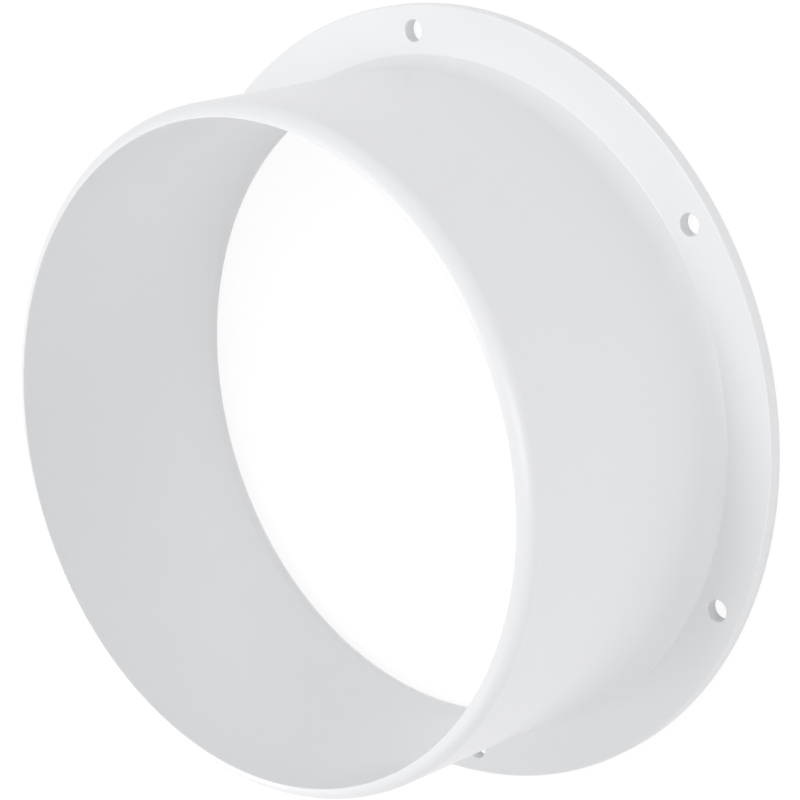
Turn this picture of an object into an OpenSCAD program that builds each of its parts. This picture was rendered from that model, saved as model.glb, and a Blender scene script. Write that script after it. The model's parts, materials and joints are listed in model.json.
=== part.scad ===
/* [Spigot] */
// Outside diameter of the spigot tube
spigot_d = 149.6; // [90:0.1:250]
// Height of the spigot's mouth above the back face of the flange
spigot_h = 65.5; // [40:0.5:120]
// Wall thickness of the spigot tube
wall = 3.2; // [2.5:0.1:4]
// Radius that rounds the outer edge of the mouth, which may be more than the wall
mouth_r = 4; // [1:0.1:5]

/* [Flange] */
// Width of the flange ring, from the spigot's outer wall to the flange's edge
flange_w = 13.2; // [12:0.1:25]
// Thickness of the flange
flange_t = 3.4; // [3:0.1:5]
// Radius that rounds the flange's outer edge, front and back
edge_r = 0.4; // [0.2:0.1:1]

/* [Blends] */
// Radius of the hollow foot, where the spigot's outer wall spreads onto the flange's front face
foot_r = 10; // [6:0.5:20]
// How far the foot stands out from the wall where it ends, in a crisp crease on the flange
foot_w = 2.3; // [1:0.1:3]
// Radius of the flared inlet, where the bore opens out into the back face
inlet_r = 7.5; // [2:0.1:7.5]

/* [Screw holes] */
// Number of screw holes, evenly spaced around the flange
hole_count = 6; // [3:1:8]
// Diameter of each screw hole
hole_d = 4.8; // [3:0.1:6]
// Distance of each hole's centre from the flange's outer edge
hole_inset = 5.8; // [5:0.1:7]
// Radius that rounds each hole's edge on the flange's front face
hole_edge_r = 0.3; // [0.2:0.1:0.8]
// Radius that rounds each hole's edge on the flange's back face
hole_back_r = 0.5; // [0.2:0.1:0.6]

/* [Hidden] */
$fn = 180;

spigot_r = spigot_d / 2;
bore_r = spigot_r - wall;
flange_r = spigot_r + flange_w;
hole_circle_r = flange_r - hole_inset;

// Where mouth_r is more than the wall, its arc ends at the bore, short of its own top
mouth_short = max(mouth_r - wall, 0);
mouth_arc_z = spigot_h - sqrt(mouth_r * mouth_r - mouth_short * mouth_short);

// The foot's arc leaves the wall at this height above the flange's front face
foot_h = sqrt(foot_r * foot_r - (foot_r - foot_w) * (foot_r - foot_w));

// How far a cutting shape reaches past the face that it cuts
past = 1;

// What lies outside a circle of radius r in one quadrant: 0 is right and up,
// 1 is left and up, 2 is left and down and 3 is right and down
module corner(r, quadrant) {
    rotate(90 * quadrant)
        difference() {
            square(r + past);
            circle(r = r);
        }
}

// The hollow foot's section, which starts inside the wall and ends inside the flange
module foot_section() {
    difference() {
        translate([spigot_r - past, flange_t - past])
            square([foot_r + past, foot_h + past]);
        translate([spigot_r + foot_r, flange_t + foot_h])
            circle(r = foot_r);
    }
}

// Section of the moulding from the bore outwards, with the back face at zero
module half_section() {
    difference() {
        union() {
            translate([bore_r, 0])
                square([wall, spigot_h]);
            translate([bore_r, 0])
                square([wall + flange_w, flange_t]);
            foot_section();
        }
        translate([spigot_r - mouth_r, mouth_arc_z])
            corner(mouth_r, 0);
        translate([flange_r - edge_r, flange_t - edge_r])
            corner(edge_r, 0);
        translate([flange_r - edge_r, edge_r])
            corner(edge_r, 3);
        translate([bore_r + inlet_r, inlet_r])
            corner(inlet_r, 2);
    }
}

module screw_hole() {
    rotate_extrude() {
        translate([0, -past])
            square([hole_d / 2, flange_t + 2 * past]);
        translate([hole_d / 2 + hole_edge_r, flange_t - hole_edge_r])
            corner(hole_edge_r, 1);
        translate([hole_d / 2 + hole_back_r, hole_back_r])
            corner(hole_back_r, 2);
    }
}

module screw_holes() {
    for (i = [0 : hole_count - 1])
        rotate([0, 0, i * 360 / hole_count])
            translate([hole_circle_r, 0, 0])
                screw_hole();
}

// The whole fitting is one moulded piece, with the screw holes through its flange
module duct_flange() {
    color("whitesmoke")
        difference() {
            rotate_extrude()
                half_section();
            screw_holes();
        }
}

duct_flange();
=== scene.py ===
import json
import math

import bmesh
import bpy
from mathutils import Euler, Matrix, Vector


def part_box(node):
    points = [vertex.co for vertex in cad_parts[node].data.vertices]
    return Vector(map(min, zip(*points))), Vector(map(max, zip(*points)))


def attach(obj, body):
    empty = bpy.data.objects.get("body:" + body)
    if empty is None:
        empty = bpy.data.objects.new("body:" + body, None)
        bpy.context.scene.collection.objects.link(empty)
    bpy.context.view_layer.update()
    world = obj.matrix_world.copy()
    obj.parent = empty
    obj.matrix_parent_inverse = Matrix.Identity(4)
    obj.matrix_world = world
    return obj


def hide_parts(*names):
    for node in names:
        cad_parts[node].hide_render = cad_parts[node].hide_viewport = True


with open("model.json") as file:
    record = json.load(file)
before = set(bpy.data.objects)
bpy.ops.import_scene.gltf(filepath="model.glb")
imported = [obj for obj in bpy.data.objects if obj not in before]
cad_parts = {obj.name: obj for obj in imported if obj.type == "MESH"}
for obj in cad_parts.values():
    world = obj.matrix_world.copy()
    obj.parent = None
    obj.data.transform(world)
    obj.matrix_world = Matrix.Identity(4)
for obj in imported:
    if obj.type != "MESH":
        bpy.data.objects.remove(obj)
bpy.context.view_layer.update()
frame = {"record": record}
bpy.ops.object.select_all(action="DESELECT")
scene = bpy.context.scene

mm = 0.001
mounts = {mount["name"]: mount["dims"] for mount in frame["record"]["mounts"]}
lowCorner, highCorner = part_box("duct_flange")
print("frame loaded, fitting is", round(highCorner.z / mm, 2), "mm high")

# the moulded fitting, lathed as one section with its screw holes cut afterwards
fitting = {
    "height": highCorner.z,
    "spigotRadius": mounts["spigot"]["r_mm"] * mm,
    "flangeWidth": 13.2 * mm,       # from the spigot's wall to the flange's edge
    "flangeThickness": 3.4 * mm,
    "wall": 3.2 * mm,
    "mouthRadius": 4.0 * mm,        # outer edge of the mouth, wider than the wall
    "mouthInnerRadius": 0.25 * mm,  # inner edge of the mouth, nearly sharp
    "footRadius": 10.0 * mm,        # hollow foot, where the wall spreads onto the flange
    "footWidth": 2.3 * mm,          # how far it stands out from the wall where it ends in a crease
    "creaseWidth": 0.2 * mm,        # softens that crease, kept under a 30th of footRadius
    "inletRadius": 7.5 * mm,        # flare at the back of the bore
    "edgeRadius": 0.4 * mm,         # flange's outer edge
    "turnSteps": 288,
}

screwHole = {
    "circleRadius": mounts["screw_holes"]["pcd_mm"] / 2 * mm,
    "radius": mounts["screw_holes"]["hole_r_mm"] * mm,
    "count": mounts["screw_holes"]["count"],
    "frontRadius": 0.3 * mm,        # rounded edge on the flange's front face
    "backRadius": 0.8 * mm,         # rounded edge on its back face
    "edgeSteps": 6,
    "past": 2.0 * mm,               # how far the cutter stands out of the flange
    "turnSteps": 64,
}


def startLine(name, x, z):
    # a small plane merged to one vertex, which the section line grows from
    bpy.ops.mesh.primitive_plane_add(size=0.01)
    piece = bpy.context.object
    piece.name = name
    bpy.ops.object.mode_set(mode="EDIT")
    bpy.ops.mesh.select_mode(type="VERT")
    bpy.ops.mesh.select_all(action="SELECT")
    bpy.ops.mesh.merge(type="CENTER")
    bpy.ops.transform.translate(value=(x, 0, z))
    return piece


def drawLine(points):
    # each point is pulled out of the last one, in the XZ plane
    for (x, z), (nextX, nextZ) in zip(points, points[1:]):
        step = {"value": (nextX - x, 0, nextZ - z)}
        bpy.ops.mesh.extrude_vertices_move(TRANSFORM_OT_translate=step)


def arcPoints(centreX, centreZ, radius, fromDegrees, toDegrees, steps):
    points = []
    for i in range(steps + 1):
        angle = math.radians(fromDegrees + (toDegrees - fromDegrees) * i / steps)
        points.append((centreX + radius * math.cos(angle), centreZ + radius * math.sin(angle)))
    return points


def roundCorner(piece, x, z, width, steps):
    # a vertex bevel turns the one corner at (x, z) into an arc, which starts width away from it
    mesh = bmesh.from_edit_mesh(piece.data)
    for vertex in mesh.verts:
        vertex.select_set((vertex.co - Vector((x, 0, z))).length < 1e-5)
    bmesh.update_edit_mesh(piece.data)
    bpy.ops.mesh.bevel(offset=width, segments=steps, affect="VERTICES", profile=0.5)


def lathe(centre, steps):
    bpy.ops.mesh.select_all(action="SELECT")
    bpy.ops.mesh.spin(steps=steps, angle=2 * math.pi, center=centre, axis=(0, 0, 1))
    bpy.ops.mesh.select_all(action="SELECT")
    bpy.ops.mesh.remove_doubles(threshold=1e-6)
    bpy.ops.mesh.normals_make_consistent(inside=False)


def mouthArc(size):
    # the arc is wider than the wall, so it stops where it meets the bore
    radius = size["mouthRadius"]
    reach = math.degrees(math.acos((radius - size["wall"]) / radius))
    centreZ = size["height"] - radius * math.sin(math.radians(reach))
    return arcPoints(size["spigotRadius"] - radius, centreZ, radius, 0, reach, 16)


def footArc(size):
    # the arc rises from the flange at an angle and runs upright into the wall
    radius = size["footRadius"]
    inward = radius - size["footWidth"]
    sweep = math.degrees(math.acos(inward / radius))
    centreZ = size["flangeThickness"] + math.sqrt(radius ** 2 - inward ** 2)
    return arcPoints(size["spigotRadius"] + radius, centreZ, radius, 180 + sweep, 180, 20)


def latheFitting(size):
    bore = size["spigotRadius"] - size["wall"]
    rim = size["spigotRadius"] + size["flangeWidth"]
    crease = size["spigotRadius"] + size["footWidth"]
    thick = size["flangeThickness"]
    line = [(bore, 0), (rim, 0), (rim, thick)] + footArc(size) + mouthArc(size) + [(bore, 0)]
    piece = startLine("ductFlange", *line[0])
    drawLine(line)
    bpy.ops.mesh.select_all(action="SELECT")
    bpy.ops.mesh.remove_doubles(threshold=1e-6)
    roundCorner(piece, rim, 0, size["edgeRadius"], 6)
    roundCorner(piece, rim, thick, size["edgeRadius"], 6)
    roundCorner(piece, crease, thick, size["creaseWidth"], 3)
    roundCorner(piece, bore, size["height"], size["mouthInnerRadius"], 4)
    roundCorner(piece, bore, 0, size["inletRadius"], 24)
    lathe((0, 0, 0), size["turnSteps"])
    bpy.ops.object.mode_set(mode="OBJECT")
    return piece


def latheHoleCutters(hole, thick):
    # a rod whose ends flare out, so that each cut leaves a broken edge
    axis = hole["circleRadius"]
    wallX = axis + hole["radius"]
    back = hole["backRadius"]
    front = hole["frontRadius"]
    lower = arcPoints(wallX + back, back, back, 270, 180, hole["edgeSteps"])
    upper = arcPoints(wallX + front, thick - front, front, 180, 90, hole["edgeSteps"])
    line = [(axis, -hole["past"]), (wallX + back, -hole["past"])] + lower + upper
    line += [(wallX + front, thick + hole["past"]), (axis, thick + hole["past"])]
    cutters = startLine("holeCutters", *line[0])
    drawLine(line)
    lathe((axis, 0, 0), hole["turnSteps"])
    between = 2 * math.pi / hole["count"]
    bpy.ops.mesh.spin(steps=hole["count"] - 1, dupli=True, angle=between * (hole["count"] - 1),
                      center=(0, 0, 0), axis=(0, 0, 1))
    bpy.ops.mesh.select_all(action="SELECT")
    bpy.ops.mesh.normals_make_consistent(inside=False)
    bpy.ops.object.mode_set(mode="OBJECT")
    return cutters


def cutHoles(piece, cutters):
    bpy.ops.object.select_all(action="DESELECT")
    bpy.context.view_layer.objects.active = piece
    piece.select_set(True)
    bpy.ops.object.modifier_add(type="BOOLEAN")
    cut = piece.modifiers[-1]
    cut.operation, cut.solver, cut.object = "DIFFERENCE", "EXACT", cutters
    bpy.ops.object.modifier_apply(modifier=cut.name)
    bpy.data.objects.remove(cutters, do_unlink=True)


def finishShading(piece):
    bpy.ops.object.select_all(action="DESELECT")
    bpy.context.view_layer.objects.active = piece
    piece.select_set(True)
    bpy.ops.object.mode_set(mode="EDIT")
    bpy.ops.mesh.select_all(action="SELECT")
    bpy.ops.mesh.remove_doubles(threshold=1e-6)
    bpy.ops.object.mode_set(mode="OBJECT")
    bpy.ops.object.shade_smooth_by_angle(angle=math.radians(40))
    bpy.ops.object.modifier_add(type="WEIGHTED_NORMAL")
    piece.modifiers[-1].keep_sharp = True
    bpy.ops.object.modifier_apply(modifier=piece.modifiers[-1].name)


ductFlange = latheFitting(fitting)
cutHoles(ductFlange, latheHoleCutters(screwHole, fitting["flangeThickness"]))
finishShading(ductFlange)
print("fitting modelled,", len(ductFlange.data.polygons), "faces")

# white moulded plastic with a soft gloss
plastic = {
    "colour": (0.815, 0.82, 0.835, 1),
    "cloudColour": (0.825, 0.83, 0.845, 1),  # faint clouds where the melt cooled unevenly
    "cloudSize": 28 * mm,
    "leastRoughness": 0.28,
    "mostRoughness": 0.34,
    "polishSize": 9 * mm,           # patches of more and less gloss from the mould's polish
    "grainSize": 0.35 * mm,         # fine skin of the moulding
    "grainDepth": 0.0012 * mm,
    "swellSize": 24 * mm,           # slow unevenness of the cooled wall
    "swellDepth": 0.03 * mm,
}


def noise(nodes, place, size, detail):
    texture = nodes.new("ShaderNodeTexNoise")
    nodes.id_data.links.new(place, texture.inputs["Vector"])
    texture.inputs["Scale"].default_value = 1 / size
    texture.inputs["Detail"].default_value = detail
    return texture.outputs["Fac"]


def relief(nodes, height, depth, under=None):
    # the height is a pattern from 0 to 1, and under is the relief that it lies on
    bump = nodes.new("ShaderNodeBump")
    bump.inputs["Distance"].default_value = depth
    nodes.id_data.links.new(height, bump.inputs["Height"])
    if under:
        nodes.id_data.links.new(under, bump.inputs["Normal"])
    return bump.outputs["Normal"]


def whitePlastic(look):
    material = bpy.data.materials.new("whitePlastic")
    material.use_nodes = True
    nodes, links = material.node_tree.nodes, material.node_tree.links
    shader = nodes["Principled BSDF"]
    place = nodes.new("ShaderNodeTexCoord").outputs["Object"]

    clouds = nodes.new("ShaderNodeMix")
    clouds.data_type = "RGBA"
    clouds.inputs["A"].default_value = look["colour"]
    clouds.inputs["B"].default_value = look["cloudColour"]
    links.new(noise(nodes, place, look["cloudSize"], 3), clouds.inputs["Factor"])
    links.new(clouds.outputs["Result"], shader.inputs["Base Color"])

    polish = nodes.new("ShaderNodeMapRange")
    polish.inputs["From Min"].default_value = 0.3
    polish.inputs["From Max"].default_value = 0.7
    polish.inputs["To Min"].default_value = look["leastRoughness"]
    polish.inputs["To Max"].default_value = look["mostRoughness"]
    links.new(noise(nodes, place, look["polishSize"], 4), polish.inputs["Value"])
    links.new(polish.outputs["Result"], shader.inputs["Roughness"])

    swell = relief(nodes, noise(nodes, place, look["swellSize"], 1), look["swellDepth"])
    grain = relief(nodes, noise(nodes, place, look["grainSize"], 2), look["grainDepth"], swell)
    links.new(grain, shader.inputs["Normal"])
    return material


ductFlange.data.materials.clear()
ductFlange.data.materials.append(whitePlastic(plastic))
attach(ductFlange, "root")
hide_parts("duct_flange")
print("plastic done")

# floor and world show white to the camera and to reflections, and light the fitting plainly
studio = {
    "floorSize": 12.0,
    "floorColour": (0.90, 0.90, 0.90, 1),
    "floorShadowShare": 0.12,   # how much of the lit floor the camera sees, so that its shadow stays faint
    "floorGlow": 0.91,
    "worldStrength": 0.53,
}


def seenDirectly(nodes, links):
    path = nodes.new("ShaderNodeLightPath")
    cameraOrGlossy = nodes.new("ShaderNodeMath")
    cameraOrGlossy.operation = "MAXIMUM"
    anySight = nodes.new("ShaderNodeMath")
    anySight.operation = "MAXIMUM"
    links.new(path.outputs["Is Camera Ray"], cameraOrGlossy.inputs[0])
    links.new(path.outputs["Is Glossy Ray"], cameraOrGlossy.inputs[1])
    links.new(cameraOrGlossy.outputs[0], anySight.inputs[0])
    links.new(path.outputs["Is Transmission Ray"], anySight.inputs[1])
    return anySight.outputs[0]


def paleFloor(look):
    bpy.ops.mesh.primitive_plane_add(size=look["floorSize"])
    floor = bpy.context.object
    floor.name = "paleFloor"
    material = bpy.data.materials.new("paleFloor")
    material.use_nodes = True
    nodes, links = material.node_tree.nodes, material.node_tree.links
    nodes.remove(nodes["Principled BSDF"])
    lit = nodes.new("ShaderNodeBsdfDiffuse")
    lit.inputs["Color"].default_value = look["floorColour"]
    faint = nodes.new("ShaderNodeBsdfDiffuse")
    share = look["floorShadowShare"]
    faint.inputs["Color"].default_value = [part * share for part in look["floorColour"][:3]] + [1]
    glow = nodes.new("ShaderNodeEmission")
    glow.inputs["Strength"].default_value = look["floorGlow"]
    seen = nodes.new("ShaderNodeAddShader")
    links.new(faint.outputs[0], seen.inputs[0])
    links.new(glow.outputs[0], seen.inputs[1])
    mix = nodes.new("ShaderNodeMixShader")
    links.new(seenDirectly(nodes, links), mix.inputs[0])
    links.new(lit.outputs[0], mix.inputs[1])
    links.new(seen.outputs[0], mix.inputs[2])
    links.new(mix.outputs[0], nodes["Material Output"].inputs["Surface"])
    floor.data.materials.append(material)


def whiteWorld(look):
    world = bpy.data.worlds.new("whiteWorld")
    scene.world = world
    world.use_nodes = True
    nodes, links = world.node_tree.nodes, world.node_tree.links
    soft = nodes["Background"]
    soft.inputs["Strength"].default_value = look["worldStrength"]
    white = nodes.new("ShaderNodeBackground")
    mix = nodes.new("ShaderNodeMixShader")
    for background in (soft, white):
        background.inputs["Color"].default_value = (1, 1, 1, 1)
    links.new(seenDirectly(nodes, links), mix.inputs[0])
    links.new(soft.outputs[0], mix.inputs[1])
    links.new(white.outputs[0], mix.inputs[2])
    links.new(mix.outputs[0], nodes["World Output"].inputs["Surface"])


paleFloor(studio)
whiteWorld(studio)

# soft boxes, each placed by its bearing round the fitting and its height above the floor, in degrees
softBoxes = {
    "backBox": {"azimuth": 210, "elevation": 12, "distance": 1.2, "size": 0.6, "watts": 5.0},
    "frontBox": {"azimuth": 0, "elevation": 35, "distance": 1.2, "size": 0.6, "watts": 2.9},
    "keyBox": {"azimuth": 100, "elevation": 75, "distance": 1.2, "size": 0.25, "watts": 2.7},
    "topBox": {"azimuth": 120, "elevation": 60, "distance": 1.2, "size": 0.6, "watts": 2.5},
    "sideBox": {"azimuth": 270, "elevation": 35, "distance": 1.2, "size": 0.6, "watts": 1.3},
}


def softBox(name, box):
    azimuth, elevation = math.radians(box["azimuth"]), math.radians(box["elevation"])
    away = Vector((math.sin(azimuth) * math.cos(elevation), -math.cos(azimuth) * math.cos(elevation),
                   math.sin(elevation)))
    bpy.ops.object.light_add(type="AREA", location=away * box["distance"])
    lamp = bpy.context.object
    lamp.name = name
    lamp.rotation_euler = away.to_track_quat("Z", "Y").to_euler()
    lamp.data.shape = "SQUARE"
    lamp.data.size = box["size"]
    lamp.data.energy = box["watts"]


for name, box in softBoxes.items():
    softBox(name, box)
print("floor, world and lamps done")

# camera at the photograph's viewing angle
shot = {
    "azimuth": 16.28,
    "elevation": 45.83,
    "roll": 107.09,
    "distance": 0.6288,
    "aim": (0.00461, -0.00653, 0.02541),
    "lens": 130.46,
}


def photoCamera(view):
    bpy.ops.object.camera_add()
    camera = bpy.context.object
    camera.name = "photoCamera"
    camera.data.lens = view["lens"]
    camera.data.sensor_width = 36
    camera.data.clip_start = 0.01
    turned = Euler((math.radians(90 - view["elevation"]), 0, math.radians(view["azimuth"]))).to_matrix()
    back = turned @ Vector((0, 0, 1))
    place = Matrix.Translation(Vector(view["aim"]) + back * view["distance"])
    camera.matrix_world = place @ turned.to_4x4() @ Matrix.Rotation(math.radians(-view["roll"]), 4, "Z")
    scene.camera = camera


photoCamera(shot)
scene.view_settings.view_transform = "Standard"
print("camera done")

bpy.context.view_layer.update()
